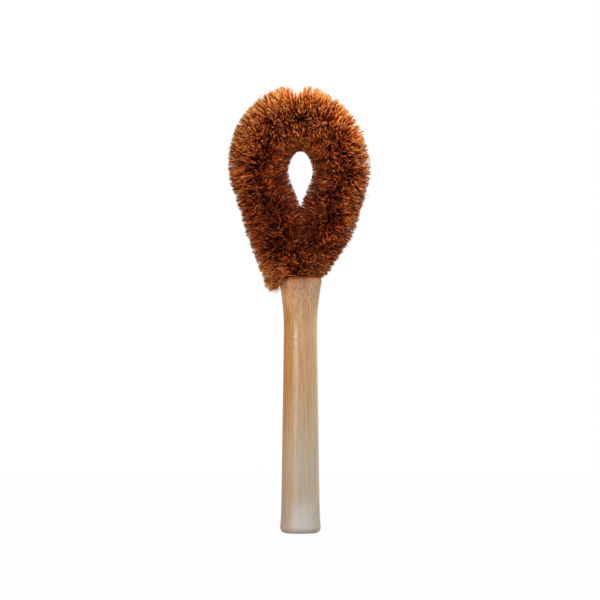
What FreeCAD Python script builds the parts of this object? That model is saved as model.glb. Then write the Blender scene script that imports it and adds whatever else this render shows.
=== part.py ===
import FreeCAD, Part
import math
import os

# Loop-headed coir dish brush.
# A turned wooden handle holds the two ends of a twisted wire core in a drilled socket.
# The core is two steel wires, twisted together and bent into a teardrop loop.
# Coconut fibre is gripped between the two wires, and the twist fans it out all round the core.
#
# Frame: +Z runs up the handle to the loop, X lies across the loop and Y goes through it.
# The origin is the centre of the handle's flat butt. All lengths are in millimetres.

# Handle
handle_length = 138.0
foot_diameter = 20.7
foot_height = 13.0
butt_swell = 0.55
butt_round = 3.0
neck_diameter = 17.9
flare_length = 31.0
head_flare = 2.45
shoulder_round = 3.2

# Core wires
wire_diameter = 1.6
pinch_gap = 0.4
twist_pitch = 14.0
wire_facets = 8
steps_per_turn = 7

# Loop that the core is bent into
crown_radius = 21.0
crown_half_angle = 60.0
side_radius = 30.0
loop_height = 83.5
leg_bend_radius = 12.0
leg_gap = 0.6

# Socket in the handle, and the glue that fills it
tang_length = 30.0
socket_clearance = 0.3
socket_end_room = 1.0
socket_mouth_chamfer = 1.0
drill_point_angle = 118.0
glue_clearance = 0.05
glue_below_mouth = 1.5

# Coir: a fan is the fibre that about half a turn of the twist grips
leg_fans = 7
side_fans = 4
crown_fans = 6
leg_reach = 16.2
crown_reach = 18.5
crown_eye_radius = 4.6
left_foot_reach = 17.4
left_skirt_reach = 17.2
right_foot_reach = 13.4
right_skirt_reach = 12.4
foot_blend_length = 20.0
fan_gap = 0.3
midplane_gap = 0.3
root_clearance = 0.2
handle_clearance = 0.3
tufts_per_fan = 16
tuft_valley_share = 0.82
tuft_uneven_share = 0.03
fan_bore_facets = 6
shoulder_facets = 16

# Cuts run past the solid by this much
overrun = 2.0

# Sizes worked out from those above
foot_radius = foot_diameter / 2
butt_radius = foot_radius + butt_swell
neck_radius = neck_diameter / 2
neck_height = handle_length - flare_length
head_radius = neck_radius + head_flare
wire_radius = wire_diameter / 2
strand_offset = (wire_diameter + pinch_gap) / 2
pair_radius = strand_offset + wire_radius
tang_offset = pair_radius + leg_gap / 2
tang_end_height = handle_length - tang_length
socket_radius = tang_offset + pair_radius + socket_clearance
socket_bottom = tang_end_height - socket_end_room
crown_height = handle_length + loop_height - crown_radius
skirt_length = twist_pitch / 2

ORIGIN = FreeCAD.Vector(0, 0, 0)
ACROSS = FreeCAD.Vector(1, 0, 0)
THROUGH = FreeCAD.Vector(0, 1, 0)
UP = FreeCAD.Vector(0, 0, 1)


class Line:
    """A straight run of the core's centreline, in the X-Z plane."""

    def __init__(self, start, end):
        self.start = start
        self.length = math.dist(start, end)
        self.direction = ((end[0] - start[0]) / self.length, (end[1] - start[1]) / self.length)

    def point(self, travel):
        return tuple(place + step * travel for place, step in zip(self.start, self.direction))

    def heading(self, travel):
        return self.direction

    def bulge(self, span):
        return 0


class Arc:
    """A round run of the centreline. Angles are in radians from +X, and the sweep is signed."""

    def __init__(self, centre, radius, start_angle, sweep):
        self.centre = centre
        self.radius = radius
        self.start_angle = start_angle
        self.turn = math.copysign(1, sweep)
        self.length = radius * abs(sweep)

    def angle(self, travel):
        return self.start_angle + self.turn * travel / self.radius

    def point(self, travel):
        angle = self.angle(travel)
        return (
            self.centre[0] + self.radius * math.cos(angle),
            self.centre[1] + self.radius * math.sin(angle),
        )

    def heading(self, travel):
        angle = self.angle(travel)
        return (-self.turn * math.sin(angle), self.turn * math.cos(angle))

    def bulge(self, span):
        """How far the arc stands off the chord of a span."""
        return self.radius * (1 - math.cos(span / 2 / self.radius))


def core_runs():
    """Runs of the core from the left tang's end, over the crown, to the right tang's end, and the lean.

    The crown and the two side arcs share a tangent where they meet. Each leg is the straight line
    that touches a side arc and the small bend above the socket, and the lean is its angle from upright.
    """
    crown_end = math.pi / 2 - math.radians(crown_half_angle)
    side_shift = crown_radius - side_radius
    side_x = side_shift * math.cos(crown_end)
    side_z = crown_height + side_shift * math.sin(crown_end)
    bend_x = tang_offset + leg_bend_radius
    away, rise = side_x - bend_x, side_z - handle_length
    lean = math.asin((leg_bend_radius + side_radius) / math.hypot(away, rise)) + math.atan2(away, rise)
    side_sweep = -(lean + crown_end)
    bend_left = Arc((-bend_x, handle_length), leg_bend_radius, 0, lean)
    side_left = Arc((-side_x, side_z), side_radius, math.pi + lean, side_sweep)
    side_right = Arc((side_x, side_z), side_radius, crown_end, side_sweep)
    bend_right = Arc((bend_x, handle_length), leg_bend_radius, math.pi - lean, lean)
    runs = {
        "tang_left": Line((-tang_offset, tang_end_height), (-tang_offset, handle_length)),
        "bend_left": bend_left,
        "leg_left": Line(bend_left.point(bend_left.length), side_left.point(0)),
        "side_left": side_left,
        "crown": Arc((0, crown_height), crown_radius, math.pi - crown_end, 2 * crown_end - math.pi),
        "side_right": side_right,
        "leg_right": Line(side_right.point(side_right.length), bend_right.point(0)),
        "bend_right": bend_right,
        "tang_right": Line((tang_offset, handle_length), (tang_offset, tang_end_height)),
    }
    return runs, lean


RUNS, LEG_LEAN = core_runs()
CORE_LENGTH = sum(run.length for run in RUNS.values())


def run_frame(run, travel):
    """Point, heading and outward direction of the core at a distance along one run."""
    x, z = run.point(travel)
    along_x, along_z = run.heading(travel)
    return (
        FreeCAD.Vector(x, 0, z),
        FreeCAD.Vector(along_x, 0, along_z),
        FreeCAD.Vector(-along_z, 0, along_x),
    )


def core_frame(travel):
    """The same at a distance from the core's left end."""
    for run in RUNS.values():
        if travel <= run.length:
            return run_frame(run, travel)
        travel -= run.length
    return run_frame(run, run.length)


def twist_angle(travel):
    return 2 * math.pi * travel / twist_pitch


def polygon(corners):
    return Part.makePolygon(corners + corners[:1])


def flat_faced_solid(rings):
    """Closed solid of flat faces through rings that have the same number of corners."""
    faces = [Part.Face(polygon(rings[0])), Part.Face(polygon(rings[-1]))]
    for lower, upper in zip(rings, rings[1:]):
        for k in range(len(lower)):
            faces.append(Part.Face(polygon([lower[k - 1], lower[k], upper[k], upper[k - 1]])))
    shell = Part.makeShell(faces)
    shell.sewShape()
    solid = Part.makeSolid(shell)
    if solid.Volume < 0:
        solid.reverse()
    return solid


# Handle, socket and glue


def bowed_edge(start, end, centre):
    """Arc of under a half circle about a centre, from start to end."""
    radius = (start - centre).Length
    middle = centre + ((start - centre) + (end - centre)).normalize() * radius
    return Part.Arc(start, middle, end).toShape()


def flared_end(joint, taper, rim_radius, rounding, end_height):
    """Half profile of one end of the handle: a hollow flare off the taper, then a round to a flat end.

    The flare leaves the joint along the taper and touches the round, which fixes its radius.
    """
    toward_joint = math.copysign(1, joint.z - end_height)
    away = FreeCAD.Vector(abs(taper.z), 0, -taper.x * math.copysign(1, taper.z))
    round_centre = FreeCAD.Vector(rim_radius - rounding, 0, end_height + toward_joint * rounding)
    reach = round_centre - joint
    flare_radius = (reach.Length**2 - rounding**2) / (2 * (reach.dot(away) + rounding))
    flare_centre = joint + away * flare_radius
    meeting = flare_centre + (round_centre - flare_centre).normalize() * abs(flare_radius)
    end = FreeCAD.Vector(round_centre.x, 0, end_height)
    return bowed_edge(joint, meeting, flare_centre), bowed_edge(meeting, end, round_centre), end


def make_handle():
    """Turned handle: a straight taper with a swollen butt and a flared, rounded head, then drilled."""
    foot = FreeCAD.Vector(foot_radius, 0, foot_height)
    neck = FreeCAD.Vector(neck_radius, 0, neck_height)
    taper = (neck - foot).normalize()
    swell, butt_edge, butt = flared_end(foot, -taper, butt_radius, butt_round, 0)
    flare, head_edge, head = flared_end(neck, taper, head_radius, shoulder_round, handle_length)
    profile = [
        Part.makeLine(ORIGIN, butt),
        butt_edge,
        swell,
        Part.makeLine(foot, neck),
        flare,
        head_edge,
        Part.makeLine(head, UP * handle_length),
        Part.makeLine(UP * handle_length, ORIGIN),
    ]
    turned = Part.Face(Part.Wire(profile)).revolve(ORIGIN, UP, 360)
    mouth_height = handle_length - socket_mouth_chamfer
    mouth_depth = socket_mouth_chamfer + overrun
    mouth = Part.makeCone(socket_radius, socket_radius + mouth_depth, mouth_depth, UP * mouth_height)
    return turned.cut(drilled_hole(socket_radius, handle_length + overrun)).cut(mouth)


def drilled_hole(radius, top):
    """The socket's hole up to a height, with the cone that the drill's point leaves."""
    point_depth = radius / math.tan(math.radians(drill_point_angle / 2))
    shank = Part.makeCylinder(radius, top - socket_bottom, UP * socket_bottom)
    point = Part.makeCone(0, radius, point_depth, UP * (socket_bottom - point_depth))
    return shank.fuse(point)


def make_glue():
    """Cured glue that fills the socket round the two tangs."""
    plug = drilled_hole(socket_radius - glue_clearance, handle_length - glue_below_mouth)
    for side in (-1, 1):
        tang_end = ACROSS * (side * tang_offset) + UP * (tang_end_height - glue_clearance)
        plug = plug.cut(Part.makeCylinder(pair_radius + glue_clearance, tang_length, tang_end))
    return plug


# Twisted wires


def strand_point(travel, phase):
    """Centre of one wire of the twisted pair."""
    point, heading, outward = core_frame(travel)
    angle = twist_angle(travel) + phase
    return point + outward * (strand_offset * math.cos(angle)) + THROUGH * (strand_offset * math.sin(angle))


def strand_heading(travel, phase):
    """Direction of the wire's helix, and of the core itself at the two cut ends."""
    if travel <= 0 or travel >= CORE_LENGTH:
        return core_frame(travel)[1]
    step = min(twist_pitch / 2 / steps_per_turn, travel, CORE_LENGTH - travel) / 2
    return (strand_point(travel + step, phase) - strand_point(travel - step, phase)).normalize()


def strand_section(travel, phase):
    """The wire's outline square to its helix, as a polygon of about the round wire's area."""
    heading = strand_heading(travel, phase)
    side = THROUGH.cross(heading).normalize()
    front = heading.cross(side)
    centre = strand_point(travel, phase)
    corner_radius = wire_radius / math.sqrt(math.cos(math.pi / wire_facets))
    corners = []
    for k in range(wire_facets):
        angle = 2 * math.pi * k / wire_facets
        corners.append(centre + (side * math.cos(angle) + front * math.sin(angle)) * corner_radius)
    return polygon(corners)


def make_wire(phase):
    """One wire of the core, from its end in the socket round the loop and back."""
    count = round(CORE_LENGTH / twist_pitch * steps_per_turn)
    sections = [strand_section(CORE_LENGTH * k / count, phase) for k in range(count + 1)]
    return Part.makeLoft(sections, True, True)


# Coir fans


def fan_ring(run, travel, corners):
    """Outline round the core and square to it, from the angle and reach of each corner."""
    point, heading, outward = run_frame(run, travel)
    return [
        point + outward * (reach * math.cos(angle)) + THROUGH * (reach * math.sin(angle))
        for angle, reach in corners
    ]


def tuft_corners(reach_out, reach_in, phase, serial):
    """Pointed outline of a fan: one point for each tuft of fibres, not quite even in length."""
    corners = []
    for k in range(2 * tufts_per_fan):
        angle = phase + math.pi * k / tufts_per_fan
        reach = (reach_out + reach_in) / 2 + (reach_out - reach_in) / 2 * math.cos(angle)
        unevenness = 1 + tuft_uneven_share * math.sin(k * k + serial)
        corners.append((angle, reach * (tuft_valley_share if k % 2 else unevenness)))
    return corners


def bore_corners(radius):
    """Outline that just holds a circle round the core."""
    corner_radius = radius / math.cos(math.pi / fan_bore_facets)
    return [(2 * math.pi * k / fan_bore_facets, corner_radius) for k in range(fan_bore_facets)]


def make_fan(run, start, end, outline, bend_room=0):
    """One fan of coir between two places on a run, with room for the core through its middle."""
    bore = bore_corners(pair_radius + root_clearance + run.bulge(end - start) + bend_room)
    inset = fan_gap / 2
    body = flat_faced_solid([fan_ring(run, place, outline) for place in (start + inset, end - inset)])
    return body.cut(flat_faced_solid([fan_ring(run, place, bore) for place in (start - inset, end + inset)]))


def half_space(side):
    """The space on one side of the loop's midplane, less half the gap that is kept there."""
    span = handle_length + loop_height + crown_reach
    box = Part.makeBox(span, 2 * span, span, FreeCAD.Vector(midplane_gap / 2, -span, 0))
    return box.mirror(ORIGIN, ACROSS) if side < 0 else box


def shoulder_room():
    """A faceted cover over the handle's head, which the lowest fans are cut back from."""
    rounding = shoulder_round + handle_clearance
    facet = rounding * math.tan(math.pi / 8)
    levels = [
        (head_radius + handle_clearance, handle_length - leg_reach),
        (head_radius + handle_clearance, handle_length - shoulder_round + facet),
        (head_radius - shoulder_round + facet, handle_length + handle_clearance),
    ]
    rings = []
    for radius, height in levels:
        corner_radius = radius / math.cos(math.pi / shoulder_facets)
        turns = [2 * math.pi * k / shoulder_facets for k in range(shoulder_facets)]
        rings.append([
            FreeCAD.Vector(corner_radius * math.cos(turn), corner_radius * math.sin(turn), height)
            for turn in turns
        ])
    return flat_faced_solid(rings)


def leg_outline_reach(from_foot, foot_reach):
    """A leg's fans go from its own reach at the foot to the common reach further up."""
    share = min(1, from_foot / foot_blend_length)
    reach = foot_reach + (leg_reach - foot_reach) * share
    return reach, reach


def loop_outline_reach(name, heading):
    """Outward and inward reach on the round part: the crown's is longest where the core runs level."""
    outward = leg_reach + (crown_reach - leg_reach) * heading[0] ** 2
    return outward, crown_radius - crown_eye_radius if name == "crown" else leg_reach


def fan_reach(name, run, travel):
    if name == "leg_left":
        return leg_outline_reach(travel, left_foot_reach)
    if name == "leg_right":
        return leg_outline_reach(run.length - travel, right_foot_reach)
    return loop_outline_reach(name, run.heading(travel))


def make_run_fans(name, run, run_start, count, first_serial):
    """The fans of one run, which share its length evenly."""
    pitch = run.length / count
    fans = []
    for k in range(count):
        middle = (k + 0.5) * pitch
        outline = tuft_corners(*fan_reach(name, run, middle), twist_angle(run_start + middle), first_serial + k)
        fans.append(make_fan(run, k * pitch, (k + 1) * pitch, outline))
    return fans


def make_skirt(run, start, reach, serial):
    """The lowest fan of a leg, which lies over the handle's head and round the bend in the core."""
    outline = tuft_corners(reach, reach, twist_angle(start), serial)
    bend_room = leg_bend_radius * (1 - math.cos(LEG_LEAN))
    return make_fan(run, start, start + skirt_length, outline, bend_room)


def make_coir():
    """All the fans by name. The two legs' fibres meet at the midplane and rest on the handle's head."""
    fans = {"leg": leg_fans, "side": side_fans, "crown": crown_fans}
    coir = {}
    run_start = 0
    for name, run in RUNS.items():
        count = fans.get(name.split("_")[0], 0)
        if count:
            for k, fan in enumerate(make_run_fans(name, run, run_start, count, len(coir))):
                coir[f"coir_{name}_{k + 1:02d}"] = fan
        run_start += run.length
    leg_left, leg_right = RUNS["leg_left"], RUNS["leg_right"]
    coir["coir_skirt_left"] = make_skirt(leg_left, -skirt_length, left_skirt_reach, len(coir))
    coir["coir_skirt_right"] = make_skirt(leg_right, leg_right.length, right_skirt_reach, len(coir))
    room = shoulder_room()
    for name, fan in coir.items():
        if "left" in name or "right" in name:
            fan = fan.common(half_space(-1 if "left" in name else 1))
        if "leg" in name or "skirt" in name:
            fan = fan.cut(room)
        coir[name] = fan
    return coir


def main():
    parts = {
        "handle": make_handle(),
        "socket_glue": make_glue(),
        "core_wire_front": make_wire(0),
        "core_wire_back": make_wire(math.pi),
        **make_coir(),
    }
    os.makedirs("parts", exist_ok=True)
    for name, shape in parts.items():
        shape.exportStep(os.path.join("parts", name + ".step"))
        print(name, "solids", len(shape.Solids), "volume", round(shape.Volume, 1), "valid", shape.isValid())
    print("core length", round(CORE_LENGTH, 1), "leg lean", round(math.degrees(LEG_LEAN), 2))


main()
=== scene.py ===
import math
from collections import namedtuple

import bpy
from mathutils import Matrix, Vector


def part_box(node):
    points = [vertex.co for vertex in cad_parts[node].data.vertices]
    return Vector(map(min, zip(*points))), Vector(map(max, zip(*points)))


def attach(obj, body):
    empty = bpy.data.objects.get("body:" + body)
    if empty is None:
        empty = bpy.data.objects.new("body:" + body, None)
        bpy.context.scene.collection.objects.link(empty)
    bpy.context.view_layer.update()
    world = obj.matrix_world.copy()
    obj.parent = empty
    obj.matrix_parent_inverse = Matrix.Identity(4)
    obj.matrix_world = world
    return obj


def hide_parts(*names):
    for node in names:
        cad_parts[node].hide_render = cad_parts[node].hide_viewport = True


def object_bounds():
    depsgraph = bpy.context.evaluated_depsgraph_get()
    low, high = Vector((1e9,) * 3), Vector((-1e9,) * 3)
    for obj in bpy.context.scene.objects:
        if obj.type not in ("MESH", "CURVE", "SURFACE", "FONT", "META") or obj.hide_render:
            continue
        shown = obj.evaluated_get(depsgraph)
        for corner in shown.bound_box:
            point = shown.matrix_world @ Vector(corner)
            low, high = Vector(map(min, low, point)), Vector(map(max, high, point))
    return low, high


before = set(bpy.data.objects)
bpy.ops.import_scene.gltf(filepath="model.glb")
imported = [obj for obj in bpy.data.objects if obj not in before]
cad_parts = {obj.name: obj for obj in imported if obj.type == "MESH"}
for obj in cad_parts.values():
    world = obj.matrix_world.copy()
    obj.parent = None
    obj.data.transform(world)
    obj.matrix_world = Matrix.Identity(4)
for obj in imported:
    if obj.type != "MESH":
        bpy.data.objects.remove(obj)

# Looks of a loop-headed coir dish brush, in metres.
# The turned handle, the twisted core and the glue keep their solids and get their finishes here.
# The coir is made fibre by fibre round the core, and stands for the plain fans of the frame.

cad_low, cad_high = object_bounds()
BODY = "root"

# The core's bends, which the fibres follow
crown_radius = 0.021
crown_half_angle = math.radians(60)
side_radius = 0.030
loop_height = 0.0835
leg_bend_radius = 0.012
tang_offset = 0.0021
handle_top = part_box("handle")[1].z
crown_height = handle_top + loop_height - crown_radius
step_along_core = 0.0005

# The handle's head, which the lowest fibres lie on and sink into a little
head_radius = 0.0114
shoulder_round = 0.0032
head_sink = 0.0002

# How far the coir stands out from the core on each side of the brush, and where it starts below the leg
Side = namedtuple("Side", (
    "flip", "crown_reach", "shoulder_reach", "side_reach", "leg_reach",
    "foot_reach", "skirt_reach", "skirt_length",
))
SIDES = {
    "left": Side(
        flip=1, crown_reach=0.0187, shoulder_reach=0.0176, side_reach=0.0157, leg_reach=0.0178,
        foot_reach=0.0184, skirt_reach=0.0186, skirt_length=0.0060,
    ),
    "right": Side(
        flip=-1, crown_reach=0.0181, shoulder_reach=0.0144, side_reach=0.0156, leg_reach=0.0172,
        foot_reach=0.0120, skirt_reach=0.0104, skirt_length=0.0010,
    ),
}
foot_blend_length = 0.024

# The skirt grows from inside the socket's mouth, reaches less at its tip, and is denser and evener
mouth_depth = 0.0015
skirt_tip_share = 0.88
skirt_tip_length_share = 0.5
skirt_crowding = 1.3
SKIRT_SETTINGS = {"Uneven Share": 0.05, "Stray Share": 0.0, "Tuft Pull Share": 0.30}

# How far the coir stands in towards the loop's eye
crown_reach_in = 0.0174
eye_reach_in = 0.0152
eye_foot_reach_in = 0.0153
eye_blend_length = 0.014
low_leg_share = 4 / 7

# How much denser the coir is on the rim than in the eye, by run: a bend crowds the fibres in its eye
RIM_SHARES = {"skirt": 0.10, "leg_low": 0.0, "leg_high": 0.0, "side": 0.40, "crown": 0.55}

# How strongly rim fibres gather to locks, and how golden they are: both more on the right of the brush. The
# rim's gold is painted light, as if the rim were lit from behind
lock_pull_share = 0.31
right_lock_pull_share = 0.58
rim_light_gold_share = 0.30
right_rim_light_gold_share = 0.65

# Painted light: the coir is painted paler and more golden towards the crown, as if lit from above, and at the
# foot, as if lit from the front, than on the legs
painted_light_start = 0.020
painted_light_full = 0.0835
painted_light_power = 2.4
foot_painted_light_height = 0.017

# The parting at the top of the crown
parting_place = -0.0010
parting_width = 0.0030
parting_lean = 0.28
parting_depth_width = 0.0014
parting_depth_share = 0.30

# The fibres
fibres_per_metre = 240000
fibre_radius = 0.00015
fibre_joints = 5
fibre_sides = 3
tint_columns = 32
seed_step = 100

UP = Vector((0, 0, 1))


class Lead:
    """A node's output in a tree. Maths on it adds the nodes that the maths takes."""

    def __init__(self, tree, socket=None):
        self.tree = tree
        self.socket = socket

    def node(self, kind, settings=None, sockets=None, out=0):
        """Adds a node, its settings first, then its sockets' values or links, and gives one output."""
        made = self.tree.nodes.new(kind)
        for name, value in (settings or {}).items():
            if name == "stops":
                set_stops(made.color_ramp, value)
            else:
                setattr(made, name, value)
        for key, value in (sockets or {}).items():
            if isinstance(value, Lead):
                self.tree.links.new(value.socket, made.inputs[key])
            else:
                made.inputs[key].default_value = value
        return Lead(self.tree, made.outputs[out])

    def maths(self, operation, first, second=None):
        """Adds a Math node, or a Vector Math node where a term is a vector or a colour."""
        terms = {0: first} if second is None else {0: first, 1: second}
        vectors = [key for key, term in terms.items() if is_vector(term)]
        if not vectors:
            return self.node("ShaderNodeMath", {"operation": operation}, terms)
        if operation == "MULTIPLY" and len(vectors) == 1:
            scaled = {0: terms[vectors[0]], "Scale": terms[1 - vectors[0]]}
            return self.node("ShaderNodeVectorMath", {"operation": "SCALE"}, scaled)
        return self.node("ShaderNodeVectorMath", {"operation": operation}, terms)

    def __add__(self, other):
        return self.maths("ADD", self, other)

    def __radd__(self, other):
        return self.maths("ADD", other, self)

    def __sub__(self, other):
        return self.maths("SUBTRACT", self, other)

    def __rsub__(self, other):
        return self.maths("SUBTRACT", other, self)

    def __mul__(self, other):
        return self.maths("MULTIPLY", self, other)

    def __rmul__(self, other):
        return self.maths("MULTIPLY", other, self)

    def __truediv__(self, other):
        return self.maths("DIVIDE", self, other)

    def __rtruediv__(self, other):
        return self.maths("DIVIDE", other, self)

    def __pow__(self, other):
        return self.maths("POWER", self, other)

    def __neg__(self):
        return self.maths("MULTIPLY", self, -1)


def is_vector(term):
    if isinstance(term, Lead):
        return term.socket.type in ("VECTOR", "RGBA")
    return isinstance(term, (tuple, Vector))


def set_stops(ramp, stops):
    """Gives a colour ramp its stops, each a place from 0 to 1 and a colour."""
    while len(ramp.elements) < len(stops):
        ramp.elements.new(1)
    for element, (place, colour) in zip(ramp.elements, stops):
        element.position = place
        element.color = colour


def paint(red, green, blue):
    """A colour as it looks on a screen, from 0 to 255, as the linear colour that a shader takes."""
    def linear(level):
        share = level / 255
        return share / 12.92 if share <= 0.04045 else ((share + 0.055) / 1.055) ** 2.4
    return (linear(red), linear(green), linear(blue), 1)


def ease(bench, value, start, end):
    """Rises smoothly from 0 to 1 as a value goes from start to end."""
    settings = {"interpolation_type": "SMOOTHSTEP"}
    return bench.node("ShaderNodeMapRange", settings, {"Value": value, "From Min": start, "From Max": end})


def mixed(bench, factor, first, second, blend="MIX"):
    """One colour over another by a factor."""
    settings = {"data_type": "RGBA", "blend_type": blend, "clamp_factor": True}
    return bench.node("ShaderNodeMix", settings, {0: factor, 6: first, 7: second}, out=2)


# Core line


def leg_lean():
    """The legs' angle from upright: each touches a side bend and the small bend above the socket."""
    crown_end = math.pi / 2 - crown_half_angle
    side_shift = side_radius - crown_radius
    away = -side_shift * math.cos(crown_end) - tang_offset - leg_bend_radius
    rise = crown_height - side_shift * math.sin(crown_end) - handle_top
    return math.asin((leg_bend_radius + side_radius) / math.hypot(away, rise)) + math.atan2(away, rise)


def bend_line(centre, radius, start, end):
    """Points of a round run about a centre, and the direction away from it at each. Angles are from +X."""
    count = max(1, round(radius * abs(end - start) / step_along_core))
    for k in range(count + 1):
        angle = start + (end - start) * k / count
        away = Vector((math.cos(angle), 0, math.sin(angle)))
        yield centre + away * radius, away


def straight_line(start, end, away):
    """Points of a straight run, all with the same outward direction."""
    count = max(1, round((end - start).length / step_along_core))
    for k in range(count + 1):
        yield start.lerp(end, k / count), away


def core_lines():
    """Points and outward directions of the left half's runs, by name, from the foot to the crown's top."""
    lean = leg_lean()
    crown_end = math.pi / 2 - crown_half_angle
    crown_centre = UP * crown_height
    side_shift = side_radius - crown_radius
    side_centre = crown_centre + Vector((math.cos(crown_end), 0, -math.sin(crown_end))) * side_shift
    bend_centre = Vector((-tang_offset - leg_bend_radius, 0, handle_top))
    away = Vector((-math.cos(lean), 0, -math.sin(lean)))
    leg_start = bend_centre - away * leg_bend_radius
    bend_start = Vector((-tang_offset, 0, handle_top))
    mouth = list(straight_line(bend_start - UP * mouth_depth, bend_start, away))
    leg_end = side_centre + away * side_radius
    leg_middle = leg_start.lerp(leg_end, low_leg_share)
    return {
        "skirt": mouth[:-1] + list(bend_line(bend_centre, leg_bend_radius, 0, lean)),
        "leg_low": list(straight_line(leg_start, leg_middle, away)),
        "leg_high": list(straight_line(leg_middle, leg_end, away)),
        "side": list(bend_line(side_centre, side_radius, math.pi + lean, math.pi - crown_end)),
        "crown": list(bend_line(crown_centre, crown_radius, math.pi - crown_end, math.pi / 2)),
    }


def between(first, second, share):
    """A size that goes from one to another as a share goes from 0 to 1."""
    return first + (second - first) * max(0, min(1, share))


def reaches_at(run, side, travel, length):
    """Outward and inward reach of the coir at a distance along a run."""
    if run == "skirt":
        reach = side.skirt_reach * between(skirt_tip_share, 1, travel / length / skirt_tip_length_share)
        return reach, reach
    if run == "leg_low":
        reach = between(side.foot_reach, side.leg_reach, travel / foot_blend_length)
        return reach, between(reach, eye_foot_reach_in, 1 - (length - travel) / eye_blend_length)
    if run == "leg_high":
        reach = between(side.leg_reach, side.side_reach, travel / length)
        return reach, between(eye_foot_reach_in, eye_reach_in, travel / length)
    if run == "side":
        reach = between(side.side_reach, side.shoulder_reach, travel / length)
        return reach, between(eye_reach_in, crown_reach_in, travel / length)
    return between(side.shoulder_reach, side.crown_reach, travel / length), crown_reach_in


def make_core_line(name, line, run, side):
    """A run of the core as a mesh line that carries the fibres' reach and directions."""
    mesh = bpy.data.meshes.new(name)
    flip = Vector((side.flip, 1, 1))
    points = [point * flip for point, away in line]
    mesh.from_pydata(points, [(k, k + 1) for k in range(len(points) - 1)], [])
    length = sum((b - a).length for a, b in zip(points, points[1:]))
    last_point, last_away = line[-1]
    # The skirt's bend has its centre outside the loop, so there the outward side is the other way
    if run == "skirt":
        last_away = -last_away
    along = Vector((last_away.z, 0, -last_away.x))
    labels = ("outward", "drift", "sweep", "reach_out", "reach_in", "paleness", "foot")
    carried = {label: [] for label in labels}
    for k, (point, away) in enumerate(line):
        share = k / (len(line) - 1)
        drift = Vector()
        sweep = Vector()
        notch = 0
        rise = point.z - handle_top
        # Painted light rises towards the crown, and the foot's painted light fades with height
        light_rise = (rise - painted_light_start) / (painted_light_full - painted_light_start)
        paleness = between(0, 1, light_rise) ** painted_light_power
        if run == "skirt":
            drift = last_point - along * side.skirt_length * (1 - share) - point
            away = last_away
        if run == "crown":
            from_parting = ((share - 1) * length * side.flip - parting_place) / parting_width
            sweep = Vector((from_parting * math.exp(-from_parting ** 2) * parting_lean * side.flip, 0, 0))
            notch = math.exp(-(from_parting * parting_width / parting_depth_width) ** 2)
        reach_out, reach_in = reaches_at(run, side, share * length, length)
        carried["outward"].append(away * flip)
        carried["drift"].append(drift * flip)
        carried["sweep"].append(sweep * flip)
        carried["reach_out"].append(reach_out * (1 - notch * parting_depth_share))
        carried["reach_in"].append(reach_in)
        carried["paleness"].append(paleness)
        carried["foot"].append(between(1, 0, rise / foot_painted_light_height))
    for label, values in carried.items():
        if isinstance(values[0], Vector):
            numbers = [number for value in values for number in value]
            mesh.attributes.new(label, "FLOAT_VECTOR", "POINT").data.foreach_set("vector", numbers)
        else:
            mesh.attributes.new(label, "FLOAT", "POINT").data.foreach_set("value", values)
    return mesh, max(length, side.skirt_length) if run == "skirt" else length


# Coir


# How a fibre's form differs between the rim, the face that is seen and the eye
stray_start = 0.985
uneven_power = 3
eye_uneven_gain = 1.5
rim_wild_share = 0.45
rim_trim_share = 0.4
least_tuft_pull_share = 0.3
curl_power = 4

# Shares of the fibre's radius: the finest, how much the stoutest adds, and what a tip loses
finest_girth_share = 0.55
stout_girth_share = 0.9
tip_thinning_share = 0.35

# Tints, from 0 for dark brown to 1 for gold: the darkest and the brightest by place. Painted light raises
# them towards the crown, on the crown's rim and at the foot, and painted shade lowers the brightest in the
# eye
dark_tint = 0.08
foot_dark_tint = 0.36
crown_dark_tint = 0.22
bright_tint = 0.57
lit_bright_tint = 0.39
eye_shade_tint = 0.20
lit_eye_shade_tint = 0.10
gold_tint = 0.99
tint_spread = (0.25, 0.75)

# How far a tuft's fibres share one tint, and how many fibres are golden wherever they are
tuft_tint_share = 0.35
eye_tuft_tint_share = 0.25
gold_fibre_share = 0.08
foot_gold_fibre_share = 0.22

# Painted light at the foot: it is painted pale on its rim, less on its face, and its fibres are painted pale
# nearer to their roots
foot_painted_light = 0.85
foot_face_painted_light = 0.25
foot_rim_power = 0.5
foot_lit_root_share = 0.40

# The free edge of the tint map, and the place round a fibre that lies in the middle of its column
map_margin = 0.02
column_middle = 0.33

BRISTLE_INPUTS = (
    ("Fibres", "NodeSocketInt", 1000),
    ("Seed", "NodeSocketInt", 0),
    ("Fibre Radius", "NodeSocketFloat", fibre_radius),
    ("Rim Share", "NodeSocketFloat", 0.25),
    ("Uneven Share", "NodeSocketFloat", 0.11),
    ("Stray Share", "NodeSocketFloat", 0.07),
    ("Lean", "NodeSocketFloat", 0.42),
    ("Bow", "NodeSocketFloat", 0.0048),
    ("Curl", "NodeSocketFloat", 0.0055),
    ("Curl Size", "NodeSocketFloat", 0.011),
    ("Rim Gold Share", "NodeSocketFloat", rim_light_gold_share),
    ("Lock Size", "NodeSocketFloat", 0.0036),
    ("Lock Pull Share", "NodeSocketFloat", lock_pull_share),
    ("Tuft Size", "NodeSocketFloat", 0.0017),
    ("Tuft Pull Share", "NodeSocketFloat", 0.50),
    ("Kink Size", "NodeSocketFloat", 0.0040),
    ("Kink", "NodeSocketFloat", 0.0009),
    ("Handle Top", "NodeSocketFloat", handle_top - head_sink),
    ("Head Radius", "NodeSocketFloat", head_radius - head_sink),
    ("Shoulder Round", "NodeSocketFloat", shoulder_round),
    ("Finish", "NodeSocketMaterial", None),
)


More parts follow.
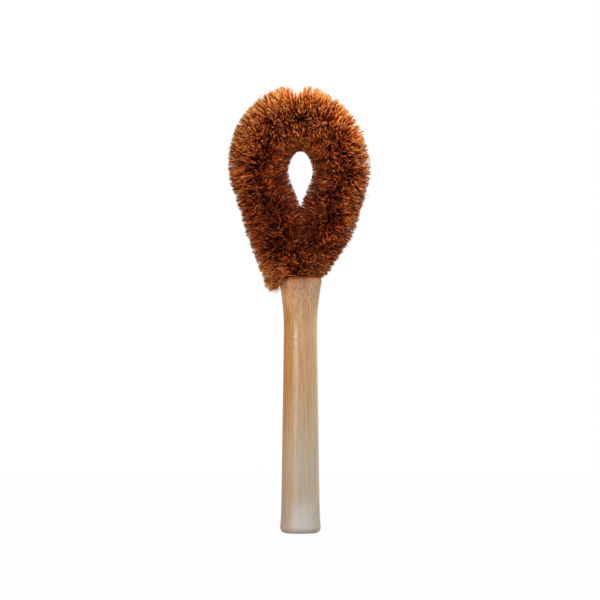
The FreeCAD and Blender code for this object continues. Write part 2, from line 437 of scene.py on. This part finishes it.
def bristle_tree():
    """Fibres round a core line, each trimmed to the reach that the line carries."""
    tree = bpy.data.node_groups.new("coir_bristle", "GeometryNodeTree")
    tree.interface.new_socket("Core", in_out="INPUT", socket_type="NodeSocketGeometry")
    for name, kind, value in BRISTLE_INPUTS:
        socket = tree.interface.new_socket(name, in_out="INPUT", socket_type=kind)
        if value is not None:
            socket.default_value = value
    tree.interface.new_socket("Bristle", in_out="OUTPUT", socket_type="NodeSocketGeometry")
    bench = Lead(tree)
    source = tree.nodes.new("NodeGroupInput")
    given = {socket.name: Lead(tree, socket) for socket in source.outputs}

    def attribute(name, kind="FLOAT"):
        return bench.node("GeometryNodeInputNamedAttribute", {"data_type": kind}, {"Name": name})

    def vector(name):
        return attribute(name, "FLOAT_VECTOR")

    def kept(geometry, name, value, kind="FLOAT", domain="POINT"):
        settings = {"data_type": kind, "domain": domain}
        sockets = {"Geometry": geometry, "Name": name, "Value": value}
        return bench.node("GeometryNodeStoreNamedAttribute", settings, sockets)

    def chance(draw, low=0.0, high=1.0):
        sockets = {2: low, 3: high, "Seed": given["Seed"] + draw}
        return bench.node("FunctionNodeRandomValue", {"data_type": "FLOAT"}, sockets, out=1)

    def chance_vector(draw):
        sockets = {0: (-1, -1, -1), 1: (1, 1, 1), "Seed": given["Seed"] + draw}
        return bench.node("FunctionNodeRandomValue", {"data_type": "FLOAT_VECTOR"}, sockets)

    def gathered(spot, size):
        """The middle of the tuft that a tip leans to."""
        sockets = {"Vector": spot, "Scale": 1 / size}
        return bench.node("ShaderNodeTexVoronoi", None, sockets, out="Position")

    def part_along(way, other):
        """How far a way goes along another."""
        settings = {"operation": "DOT_PRODUCT"}
        return bench.node("ShaderNodeVectorMath", settings, {0: way, 1: other}, out="Value")

    def drift_noise(spot, size, detail):
        sockets = {"Vector": spot, "Scale": 1 / size, "Detail": detail}
        cloud = bench.node("ShaderNodeTexNoise", None, sockets, out="Color")
        return (cloud - (0.5, 0.5, 0.5)) * 2

    # Roots along the core
    line = bench.node("GeometryNodeMeshToCurve", None, {"Mesh": given["Core"]})
    sockets = {"Curve": line, "Count": given["Fibres"]}
    spread = bench.node("GeometryNodeCurveToPoints", {"mode": "COUNT"}, sockets)
    tangent = Lead(tree, spread.socket.node.outputs["Tangent"])
    place = bench.node("GeometryNodeInputPosition")

    # Where each fibre's tip is
    draw = chance(1, -math.pi, math.pi)
    turn = draw - bench.maths("SINE", draw) * given["Rim Share"]
    toward_rim = bench.maths("COSINE", turn)
    on_rim = bench.maths("MAXIMUM", toward_rim, 0.0)
    in_eye = bench.maths("MAXIMUM", -toward_rim, 0.0)
    through = bench.node("ShaderNodeCombineXYZ", None, {"Y": bench.maths("SINE", turn)})
    direction = vector("outward") * toward_rim + through + vector("sweep") * on_rim
    reach_out = attribute("reach_out")
    reach_in = attribute("reach_in")
    reach = (reach_out + reach_in) * 0.5 + (reach_out - reach_in) * 0.5 * toward_rim
    stray = bench.maths("GREATER_THAN", chance(8), stray_start) * given["Stray Share"]
    short = given["Uneven Share"] * (1 + in_eye * eye_uneven_gain)
    trim = 1 - short * chance(2) ** uneven_power + stray * (1 - in_eye)
    facing = 1 - toward_rim * toward_rim
    wild = rim_wild_share + facing * (1 - rim_wild_share)
    lean = given["Lean"] * wild * (chance(3, -1.0, 1.0) + chance(4, -1.0, 1.0)) * 0.5
    straight = vector("drift") * on_rim + direction * (reach * trim) + tangent * (reach * lean)

    # Tips gather to locks on the rim and to tufts all round, bow at random and curl with their neighbours
    tip = place + straight
    tuft = gathered(tip, given["Tuft Size"])
    to_lock = (gathered(tip, given["Lock Size"]) - tip) * (given["Lock Pull Share"] * on_rim)
    to_tuft = (tuft - tip) * (given["Tuft Pull Share"] * chance(9, least_tuft_pull_share, 1.0))
    gather = to_lock + to_tuft
    lengthwise = part_along(gather, direction) * (rim_trim_share + (1 - rim_trim_share) * in_eye)
    span = straight + gather - direction * lengthwise
    bow = chance_vector(5) * (given["Bow"] * wild)
    flow = drift_noise(tip, given["Curl Size"], 1.0) * (given["Curl"] * facing)
    curl = flow - direction * part_along(flow, direction)

    # Each fibre's tint, partly its tuft's, between the darkest and the brightest of its place, which carry
    # painted light and painted shade
    tuft_colour = Lead(tree, tuft.socket.node.outputs["Color"])
    tuft_level = bench.node("ShaderNodeSeparateXYZ", None, {"Vector": tuft_colour})
    own_level = chance(6)
    shared = tuft_tint_share + eye_tuft_tint_share * in_eye
    shade = ease(bench, own_level + (tuft_level - own_level) * shared, *tint_spread)
    crown_painted_light = attribute("paleness")
    foot_face = attribute("foot")
    foot = foot_face * on_rim ** foot_rim_power
    paleness = crown_painted_light + foot * (foot_painted_light - foot_face_painted_light)
    paleness = paleness + foot_face * foot_face_painted_light
    # Painted light: rim fibres take golden tints, more where the coir is painted paler
    rim_light_gold = on_rim * (given["Rim Gold Share"] + (1 - given["Rim Gold Share"]) * paleness)
    gold_fibres = gold_fibre_share + foot_gold_fibre_share * foot_face
    golden = bench.maths("MAXIMUM", rim_light_gold, bench.maths("LESS_THAN", chance(10), gold_fibres))
    # Painted light lifts the darkest tints at the foot and on the crown's rim
    darkest = dark_tint + (foot_dark_tint - dark_tint) * foot
    darkest = darkest + (crown_dark_tint - dark_tint) * on_rim * crown_painted_light ** 2
    # Painted shade: fibres that point into the loop's eye get darker tints
    eye_shade = (eye_shade_tint + lit_eye_shade_tint * paleness) * in_eye
    brightest = bright_tint + lit_bright_tint * paleness - eye_shade
    brightest = brightest + (gold_tint - brightest) * golden
    column = bench.maths("FLOOR", (darkest + (brightest - darkest) * shade) * tint_columns)
    girth = given["Fibre Radius"] * (finest_girth_share + stout_girth_share * chance(7) ** 2)
    points = spread
    for name, value in {"root": place, "span": span, "bow": bow, "curl": curl}.items():
        points = kept(points, name, value, "FLOAT_VECTOR")
    tint = (column + 0.5) / tint_columns
    for name, value in {"tint": tint, "girth": girth, "pale_root": foot * foot_lit_root_share}.items():
        points = kept(points, name, value)

    # One straight fibre of unit length on each root, bowed and kinked along its span
    unit = bench.node("GeometryNodeCurvePrimitiveLine", None, {"End": UP})
    unit = bench.node("GeometryNodeResampleCurve", None, {"Curve": unit, "Count": fibre_joints})
    unit = kept(unit, "along", bench.node("GeometryNodeSplineParameter", out="Factor"))
    fibres = bench.node("GeometryNodeInstanceOnPoints", None, {"Points": points, "Instance": unit})
    fibres = bench.node("GeometryNodeRealizeInstances", None, {"Geometry": fibres})
    along = attribute("along")
    spot = vector("root") + vector("span") * along + vector("bow") * (along * (along - 1))
    spot = spot + vector("curl") * along ** curl_power
    kink = given["Kink"] * along * (1 - along) * 4
    spot = spot + drift_noise(spot, given["Kink Size"], 0.0) * kink

    # The lowest fibres lie on the handle's rounded head
    parts = bench.node("ShaderNodeSeparateXYZ", None, {"Vector": spot}).socket.node.outputs
    x, y, z = (Lead(tree, part) for part in parts)
    across = bench.maths("ABSOLUTE", x)
    flat_radius = given["Head Radius"] - given["Shoulder Round"]
    down_round = (across - flat_radius) / given["Shoulder Round"]
    down_round = bench.maths("MINIMUM", bench.maths("MAXIMUM", down_round, 0.0), 1.0)
    drop = given["Shoulder Round"] * (1 - bench.maths("SQRT", 1 - down_round * down_round))
    over_head = bench.maths("LESS_THAN", across, given["Head Radius"])
    lowest = (given["Handle Top"] - drop) * over_head
    laid = bench.node("ShaderNodeCombineXYZ", None, {"X": x, "Y": y, "Z": bench.maths("MAXIMUM", z, lowest)})
    fibres = bench.node("GeometryNodeSetPosition", None, {"Geometry": fibres, "Position": laid})

    # Round section, finer at the tip. Where the foot's painted light lifts the roots, the colours start part
    # of the way along
    fibres = kept(fibres, "along", along + attribute("pale_root") * (1 - along))
    sockets = {"Resolution": fibre_sides, "Radius": 1.0}
    section = bench.node("GeometryNodeCurvePrimitiveCircle", None, sockets)
    section = kept(section, "around", bench.node("GeometryNodeSplineParameter", out="Factor"))
    thickness = attribute("girth") * (1 - along * tip_thinning_share)
    coir = bench.node("GeometryNodeCurveToMesh", None, {
        "Curve": fibres, "Profile Curve": section, "Scale": thickness, "Fill Caps": True,
    })

    # A map with one column for each tint, from root to tip
    across_map = attribute("tint") + (attribute("around") - column_middle) / tint_columns
    up_map = map_margin + along * (1 - 2 * map_margin)
    on_map = bench.node("ShaderNodeCombineXYZ", None, {"X": across_map, "Y": up_map})
    coir = kept(coir, "OFBake", on_map, "FLOAT2", "CORNER")
    coir = bench.node("GeometryNodeRealizeInstances", None, {"Geometry": coir})
    coir = bench.node("GeometryNodeSetMaterial", None, {"Geometry": coir, "Material": given["Finish"]})
    sink = tree.nodes.new("NodeGroupOutput")
    tree.links.new(coir.socket, sink.inputs[0])
    return tree


def make_coir(tree, finish, name, mesh, settings):
    """One run's fibres as a plain mesh."""
    holder = bpy.data.objects.new(name + "_core", mesh)
    bpy.context.scene.collection.objects.link(holder)
    grow = holder.modifiers.new("bristle", "NODES")
    grow.node_group = tree
    sockets = {item.name: item.identifier for item in tree.interface.items_tree if item.in_out == "INPUT"}
    for label, value in settings.items():
        grow[sockets[label]] = value
    grow[sockets["Finish"]] = finish
    holder.update_tag()
    grown = holder.evaluated_get(bpy.context.evaluated_depsgraph_get())
    fibres = bpy.data.meshes.new_from_object(grown)
    bpy.data.objects.remove(holder)
    for stored in [a.name for a in fibres.attributes if not a.is_internal and not a.is_required]:
        if stored not in ("tint", "along", "OFBake", "material_index", "sharp_face"):
            fibres.attributes.remove(fibres.attributes[stored])
    fibres.shade_smooth()
    coir = bpy.data.objects.new(name, fibres)
    bpy.context.scene.collection.objects.link(coir)
    return coir


def numbered(stem, first, last):
    return [f"{stem}_{k:02d}" for k in range(first, last + 1)]


# The frame's fans that each run's fibres stand for
FANS = {
    "skirt_left": ["coir_skirt_left"],
    "leg_low_left": numbered("coir_leg_left", 1, 4),
    "leg_high_left": numbered("coir_leg_left", 5, 7),
    "side_left": numbered("coir_side_left", 1, 4),
    "crown_left": numbered("coir_crown", 1, 3),
    "crown_right": numbered("coir_crown", 4, 6),
    "side_right": numbered("coir_side_right", 1, 4),
    "leg_high_right": numbered("coir_leg_right", 1, 3),
    "leg_low_right": numbered("coir_leg_right", 4, 7),
    "skirt_right": ["coir_skirt_right"],
}


def make_all_coir(finish):
    """The fibres of every run on both sides. The right side's core mirrors the left's."""
    tree = bristle_tree()
    seed = 0
    for run, line in core_lines().items():
        for label, side in SIDES.items():
            seed += seed_step
            name = f"bristle_{run}_{label}"
            mesh, length = make_core_line(name, line, run, side)
            count = round(length * fibres_per_metre)
            settings = {"Fibres": count, "Rim Share": RIM_SHARES[run], "Seed": seed}
            if label == "right" and run in ("side", "crown"):
                settings["Lock Pull Share"] = right_lock_pull_share
            if label == "right" and run in ("leg_high", "side"):
                settings["Rim Gold Share"] = right_rim_light_gold_share
            if run == "skirt":
                settings.update(SKIRT_SETTINGS)
                settings["Fibres"] = round(count * skirt_crowding)
            coir = make_coir(tree, finish, name, mesh, settings)
            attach(coir, BODY)
            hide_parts(*FANS[f"{run}_{label}"])


# Finishes


def new_finish(name):
    """A material with one Principled shader, whose sockets are set by the caller."""
    material = bpy.data.materials.new(name)
    material.use_nodes = True
    tree = material.node_tree
    tree.nodes.clear()
    shader = tree.nodes.new("ShaderNodeBsdfPrincipled")
    sink = tree.nodes.new("ShaderNodeOutputMaterial")
    tree.links.new(shader.outputs[0], sink.inputs[0])
    return material, Lead(tree), shader


def dress(bench, shader, sockets):
    """Sets or links a shader's sockets."""
    for name, value in sockets.items():
        if isinstance(value, Lead):
            bench.tree.links.new(value.socket, shader.inputs[name])
        else:
            shader.inputs[name].default_value = value


def noise(bench, place, scale, detail):
    """Soft random marks, as a level from 0 to 1."""
    sockets = {"Vector": place, "Scale": scale, "Detail": detail}
    return bench.node("ShaderNodeTexNoise", None, sockets, out="Fac")


# The gloss of bare fibre and wood
weak_gloss = 0.15

# The coir's colours by tint, and what its roots and tips add: painted shade at the roots, deep among the
# fibres, and pale tips, partly weathering and partly painted light
COIR_TINTS = (
    (0.0, paint(30, 6, 2)),
    (0.25, paint(100, 26, 7)),
    (0.50, paint(190, 58, 15)),
    (0.75, paint(245, 107, 33)),
    (0.88, paint(254, 148, 54)),
    (1.0, paint(255, 205, 112)),
)
root_shade_tone = paint(120, 32, 11)
tip_tone = paint(255, 198, 100)

# Places along a fibre, from 0 at the root to 1 at the tip. A golden fibre leaves its root's painted shade
# sooner
full_tint_start = 0.72
root_fade_start = 0.52
root_fade_end = 1.0
gold_start_sooner = 0.26
gold_end_sooner = 0.20
pale_tip_start = 0.80

# How strongly those show
stem_tint_share = 0.80
gold_tints = (0.55, 0.95)
pale_tip_share = 0.20
gold_tip_share = 0.45
coir_roughness = 0.50
dark_coir_roughness = 0.15


def coir_finish():
    """Coconut fibre: roots darkened by painted shade, orange to golden tips partly brightened by painted
    light, no two fibres alike.
    """
    material, bench, shader = new_finish("coir")
    tint = bench.node("ShaderNodeAttribute", {"attribute_name": "tint"}, out="Fac")
    along = bench.node("ShaderNodeAttribute", {"attribute_name": "along"}, out="Fac")
    full_tint = ease(bench, along, full_tint_start, 1.0)
    level = tint * (stem_tint_share + (1 - stem_tint_share) * full_tint)
    fibre = bench.node("ShaderNodeValToRGB", {"stops": COIR_TINTS}, {"Fac": level})
    root = mixed(bench, 1.0, fibre, root_shade_tone, "MULTIPLY")
    gold = ease(bench, tint, *gold_tints)
    fade_start = root_fade_start - gold_start_sooner * gold
    fade_end = root_fade_end - gold_end_sooner * gold
    colour = mixed(bench, ease(bench, along, fade_start, fade_end), root, fibre)
    pale_tip = ease(bench, along, pale_tip_start, 1.0) * (pale_tip_share * tint + gold_tip_share * gold)
    colour = mixed(bench, pale_tip, colour, tip_tone)
    dress(bench, shader, {
        "Base Color": colour,
        "Roughness": coir_roughness + dark_coir_roughness * (1 - tint),
        "Specular IOR Level": weak_gloss,
    })
    return material


# The wood's tone across the handle from the front, by distance from its axis. It is partly painted light: the
# right side is painted lighter and yellower, standing in for light from the right
half_span = 0.0100
WOOD_TONE_AND_LIGHT_ACROSS = (
    (-0.0095, paint(208, 124, 36)),
    (-0.0072, paint(217, 149, 62)),
    (-0.0040, paint(195, 150, 99)),
    (0.0030, paint(188, 149, 104)),
    (0.0062, paint(200, 163, 112)),
    (0.0092, paint(218, 182, 118)),
)
band_wander = 0.005

# Where along the handle the wood turns redder, paler and greyer (partly a painted sheen), orange just under
# the coir, and worn at the butt, with a painted sheen there too
red_head_start = 0.111
red_head_full = 0.128
pale_start = 0.091
pale_full = 0.030
under_coir_orange_start = 0.1335
under_coir_orange_full = 0.1365
butt_top = 0.024
butt_full = 0.010

# Where across the handle its left and right sides start, and where the painted sheen on the worn butt lies
left_start = -0.003
left_full = -0.008
right_start = 0.003
right_full = 0.009
head_light_start = 0.004
head_light_full = -0.009
sheen_spot_place = 0.0012
sheen_spot_radius = 0.003
sheen_spot_end = 0.009

# The grain's marks: their usual width and length, and the levels of noise that they rise between
Grain = namedtuple("Grain", ("width", "length", "detail"))
GRAINS = {
    "bands": Grain(0.0030, 0.120, 1.0),
    "streaks": Grain(0.0008, 0.030, 2.0),
    "lines": Grain(0.0005, 0.034, 1.0),
    "dashes": Grain(0.0005, 0.0042, 1.0),
    "warm": Grain(0.0006, 0.040, 1.0),
    "pores": Grain(0.0004, 0.0016, 1.0),
    "speckles": Grain(0.0007, 0.0011, 1.0),
}
MARK_LEVELS = {
    "lines": (0.55, 0.70),
    "dashes": (0.52, 0.68),
    "warm": (0.50, 0.66),
    "speckles": (0.34, 0.54),
}

# The wood's tones: each one's colour, how strongly it shows, and how much more or less in which place
Tone = namedtuple("Tone", ("colour", "share", "place_shares"))
WOOD_TONES = {
    "head": Tone(paint(212, 164, 126), 0.65, {}),
    "head_right": Tone(paint(188, 166, 128), 0.45, {}),
    "under_coir_orange": Tone(paint(214, 122, 58), 0.75, {}),
    "pale": Tone(paint(188, 182, 167), 0.66, {"left": -0.06}),
    "worn_and_sheen": Tone(paint(222, 220, 218), 0.53, {}),
    "lines": Tone(paint(152, 106, 56), 0.62, {"pale": -0.34, "butt": -0.20}),
    "dashes": Tone(paint(158, 94, 50), 0.34, {"head": 0.16, "pale": -0.24}),
    "warm": Tone(paint(206, 161, 84), 0.14, {"pale": 0.34}),
    "orange": Tone(paint(228, 138, 54), 0.55, {"pale": -0.25}),
}

# How the head is painted lit towards the left, how strong the streaks are, and where warm marks fade and the
# butt's painted sheen falls off
head_light_share = 0.40
head_dim_share = 0.08
streak_share = 0.80
pale_streak_loss_share = 0.52
left_streak_gain_share = 0.45
butt_warm_loss_share = 0.5
sheen_spot_edge_loss_share = 0.7

# The grain's relief, and the lacquer over it, which is thinner at the head, the butt and the left
relief_height = 0.0002
relief_strength = 0.25
pore_height_share = 0.6
wood_roughness = 0.42
streak_roughness = 0.12
lacquer_share = 0.45
speckle_lacquer_share = 0.55
head_lacquer_loss_share = 0.7
butt_lacquer_loss_share = 0.75
left_lacquer_loss_share = 0.6
lacquer_roughness = 0.22
lacquer_index = 1.55


def wood_finish():
    """Turned wood under a semi-gloss lacquer: orange at the left, yellow at the right, greyer to the butt,
    with painted light on its right side and painted sheen low down and at the butt.
    """
    material, bench, shader = new_finish("lacquered_wood")
    place = bench.node("ShaderNodeTexCoord", out="Object")
    parts = bench.node("ShaderNodeSeparateXYZ", None, {"Vector": place}).socket.node.outputs
    x, z = (Lead(bench.tree, parts[axis]) for axis in "XZ")

    def grain(name):
        """Noise drawn out along the handle."""
        mark = GRAINS[name]
        return noise(bench, place * (1 / mark.width, 1 / mark.width, 1 / mark.length), 1.0, mark.detail)

    def marks(name):
        return ease(bench, grain(name), *MARK_LEVELS[name])

    def toned(colour, mask, name):
        """One of the wood's tones over a colour, where a mask shows it."""
        tone = WOOD_TONES[name]
        strength = tone.share
        for where, gain in tone.place_shares.items():
            strength = strength + gain * places[where]
        return mixed(bench, mask * strength, colour, tone.colour)

    places = {
        "head": ease(bench, z, red_head_start, red_head_full),
        "pale": ease(bench, z, pale_start, pale_full),
        "butt": ease(bench, z, butt_top, butt_full),
        "left": ease(bench, x, left_start, left_full),
    }
    head, pale, butt, left = places.values()
    right = ease(bench, x, right_start, right_full)
    under_coir_orange = ease(bench, z, under_coir_orange_start, under_coir_orange_full)
    # The worn butt is pale all round; painted sheen makes it palest near sheen_spot_place across the handle
    from_spot = bench.maths("ABSOLUTE", x - sheen_spot_place)
    worn_and_sheen = butt * (1 - sheen_spot_edge_loss_share * ease(bench, from_spot, sheen_spot_radius, sheen_spot_end))
    streaks = grain("streaks")
    lines = marks("lines")
    warm = marks("warm") * (1 - head)

    across = (x + (grain("bands") - 0.5) * band_wander) / (2 * half_span) + 0.5
    stops = tuple((distance / (2 * half_span) + 0.5, tone) for distance, tone in WOOD_TONE_AND_LIGHT_ACROSS)
    colour = bench.node("ShaderNodeValToRGB", {"stops": stops}, {"Fac": across})
    colour = toned(colour, head, "head")
    head_light = head_light_share * ease(bench, x, head_light_start, head_light_full)
    colour = colour * (1 + head * (head_light - head_dim_share))
    colour = toned(colour, head * right, "head_right")
    colour = toned(colour, under_coir_orange, "under_coir_orange")
    # Paler and greyer towards the butt: partly worn lacquer, partly a painted sheen
    colour = toned(colour, pale, "pale")
    colour = toned(colour, worn_and_sheen, "worn_and_sheen")
    streak_level = streak_share - pale_streak_loss_share * pale + left_streak_gain_share * left
    colour = colour * (1 + (streaks - 0.5) * streak_level)
    colour = toned(colour, lines, "lines")
    colour = toned(colour, marks("dashes"), "dashes")
    colour = toned(colour, warm * (1 - butt_warm_loss_share * butt), "warm")
    colour = toned(colour, warm * left, "orange")

    height = streaks - lines + grain("pores") * pore_height_share
    relief = {"Strength": relief_strength, "Distance": relief_height, "Height": height}
    lacquer = lacquer_share + speckle_lacquer_share * marks("speckles")
    lacquer = lacquer * (1 - head_lacquer_loss_share * head)
    lacquer = lacquer * (1 - butt_lacquer_loss_share * butt)
    lacquer = lacquer * (1 - left_lacquer_loss_share * left)
    dress(bench, shader, {
        "Base Color": colour,
        "Roughness": wood_roughness + streaks * streak_roughness,
        "Specular IOR Level": weak_gloss,
        "Coat Weight": lacquer,
        "Coat Roughness": lacquer_roughness,
        "Coat IOR": lacquer_index,
        "Normal": bench.node("ShaderNodeBump", None, relief),
    })
    return material


# Clouds in the zinc and the glue, by their count to the metre, and how rough they make each
zinc_clouds_per_metre = 900.0
zinc_detail = 3.0
zinc_roughness = 0.3
dull_zinc_roughness = 0.3
glue_clouds_per_metre = 500.0
glue_detail = 2.0
glue_roughness = 0.2
dull_glue_roughness = 0.2


def wire_finish():
    """Galvanised steel wire, with the dull patches of its zinc."""
    material, bench, shader = new_finish("galvanised_wire")
    place = bench.node("ShaderNodeTexCoord", out="Object")
    patches = noise(bench, place, zinc_clouds_per_metre, zinc_detail)
    zinc = bench.node("ShaderNodeValToRGB", {"stops": (
        (0.35, paint(140, 142, 146)),
        (0.65, paint(196, 198, 202)),
    )}, {"Fac": patches})
    dress(bench, shader, {
        "Base Color": zinc,
        "Metallic": 1.0,
        "Roughness": zinc_roughness + patches * dull_zinc_roughness,
    })
    return material


def glue_finish():
    """Cured amber glue in the socket."""
    material, bench, shader = new_finish("glue")
    place = bench.node("ShaderNodeTexCoord", out="Object")
    clouds = noise(bench, place, glue_clouds_per_metre, glue_detail)
    amber = bench.node("ShaderNodeValToRGB", {"stops": (
        (0.3, paint(150, 100, 44)),
        (0.7, paint(198, 152, 84)),
    )}, {"Fac": clouds})
    dress(bench, shader, {"Base Color": amber, "Roughness": glue_roughness + clouds * dull_glue_roughness})
    return material


def finish_node(node, material):
    """Gives one of the frame's own solids its finish."""
    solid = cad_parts[node]
    solid.data.materials.clear()
    solid.data.materials.append(material)


# Stage


# The camera, far off with a long lens, and the width that it shows at the brush
photo_width = 0.3214
camera_height = 0.1248
camera_side = -0.00024
camera_lens = 240.0
camera_sensor = 36.0
camera_distance = photo_width * camera_lens / camera_sensor

# The floor and the room's light
floor_size = 60.0
floor_grey = (0.5, 0.5, 0.5, 1)
floor_whiteness = 0.97
white_floor_distance = 1.2
white = (1, 1, 1, 1)
ambient = 0.31

# The lamps
middle = (cad_low + cad_high) / 2
crown_top = Vector((0, 0, cad_high.z))
Lamp = namedtuple("Lamp", ("place", "aim", "width", "height", "power"))
LAMPS = {
    "key_above": Lamp(Vector((0.095, -0.15, 0.385)), crown_top, width=0.16, height=0.16, power=1.0),
    "rim_behind": Lamp(Vector((0.13, 0.13, 0.37)), crown_top, width=0.16, height=0.16, power=0.40),
    "strip_left": Lamp(Vector((-0.48, -0.77, 0.215)), middle, width=0.42, height=0.22, power=2.7),
}


def seen_directly(bench):
    """1 for rays from the camera, and for those that a shiny or clear surface sends on."""
    rays = bench.node("ShaderNodeLightPath").socket.node.outputs
    camera, glossy, clear = (Lead(bench.tree, rays[name]) for name in (
        "Is Camera Ray", "Is Glossy Ray", "Is Transmission Ray",
    ))
    return bench.maths("MINIMUM", camera + glossy + clear, 1.0)


def make_world():
    """White to the camera, and dimmer as a light."""
    world = bpy.data.worlds.new("studio")
    world.use_nodes = True
    bench = Lead(world.node_tree)
    level = ambient + (1 - ambient) * seen_directly(bench)
    sky = world.node_tree.nodes["Background"]
    sky.inputs["Color"].default_value = white
    bench.tree.links.new(level.socket, sky.inputs["Strength"])
    bpy.context.scene.world = world


def make_floor():
    """Pale floor, white to the camera but for the brush's shadow."""
    half = floor_size / 2
    mesh = bpy.data.meshes.new("floor")
    corners = [(-half, -half, 0), (half, -half, 0), (half, half, 0), (-half, half, 0)]
    mesh.from_pydata(corners, [], [(0, 1, 2, 3)])
    floor = bpy.data.objects.new("floor", mesh)
    bpy.context.scene.collection.objects.link(floor)
    material = bpy.data.materials.new("pale_floor")
    material.use_nodes = True
    tree = material.node_tree
    bench = Lead(tree)
    tree.nodes.clear()
    matte = bench.node("ShaderNodeBsdfDiffuse", None, {"Color": floor_grey})
    glow = bench.node("ShaderNodeEmission", None, {"Color": white, "Strength": 1.0})
    place = bench.node("ShaderNodeTexCoord", out="Object")
    distance = bench.node("ShaderNodeVectorMath", {"operation": "LENGTH"}, {0: place}, out="Value")
    far = ease(bench, distance, 0.0, white_floor_distance)
    shown = seen_directly(bench) * (floor_whiteness + (1 - floor_whiteness) * far)
    surface = bench.node("ShaderNodeMixShader", None, {0: shown, 1: matte, 2: glow})
    sink = tree.nodes.new("ShaderNodeOutputMaterial")
    tree.links.new(surface.socket, sink.inputs["Surface"])
    mesh.materials.append(material)


def make_lamp(name, lamp):
    """A soft rectangular lamp turned to a point."""
    light = bpy.data.lights.new(name, "AREA")
    light.shape = "RECTANGLE"
    light.size = lamp.width
    light.size_y = lamp.height
    light.energy = lamp.power
    holder = bpy.data.objects.new(name, light)
    holder.location = lamp.place
    holder.rotation_euler = (lamp.aim - lamp.place).to_track_quat("-Z", "Y").to_euler()
    bpy.context.scene.collection.objects.link(holder)


def make_camera():
    """Looks along +Y, with the brush as large as in the photo."""
    camera = bpy.data.cameras.new("camera")
    camera.lens = camera_lens
    camera.sensor_width = camera_sensor
    holder = bpy.data.objects.new("camera", camera)
    holder.location = (camera_side, -camera_distance, camera_height)
    holder.rotation_euler = (math.pi / 2, 0, 0)
    bpy.context.scene.collection.objects.link(holder)
    bpy.context.scene.camera = holder


make_all_coir(coir_finish())
finish_node("handle", wood_finish())
galvanised = wire_finish()
finish_node("core_wire_front", galvanised)
finish_node("core_wire_back", galvanised)
finish_node("socket_glue", glue_finish())

make_world()
make_floor()
for name, lamp in LAMPS.items():
    make_lamp(name, lamp)
make_camera()
bpy.context.scene.view_settings.view_transform = "Standard"
